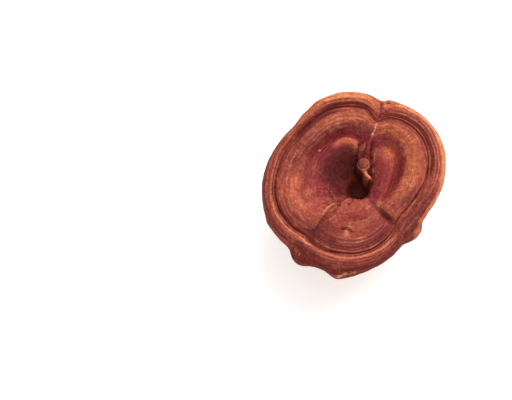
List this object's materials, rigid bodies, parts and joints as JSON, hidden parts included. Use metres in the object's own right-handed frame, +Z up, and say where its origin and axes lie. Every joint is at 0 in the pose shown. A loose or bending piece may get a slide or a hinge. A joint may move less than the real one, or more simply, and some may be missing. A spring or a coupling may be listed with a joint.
{
  "type": "dried reishi mushroom",
  "caption": "Dried bracket fungus with a round, rolled-rim cap whose lobes have fused round a deep central pit, standing on a short stem cut off flat.",
  "frame": {"origin": "centre of the flat cut face under the stem, which the mushroom rests on", "axes": "+Z up the stem, +Y towards the seam where the cap's lobes meet behind the pit, +X to the right of that"},
  "size_m": [0.1426, 0.1555, 0.062],
  "materials": {
    "cap_crust": "satin, zoned red-brown crust with purple folds and an ochre rim",
    "stem_crust": "semi-gloss, dark red-brown lacquered crust over corky flesh"
  },
  "bodies": {
    "root": {"cap": "cap_crust", "stem": "stem_crust"}
  },
  "joints": []
}
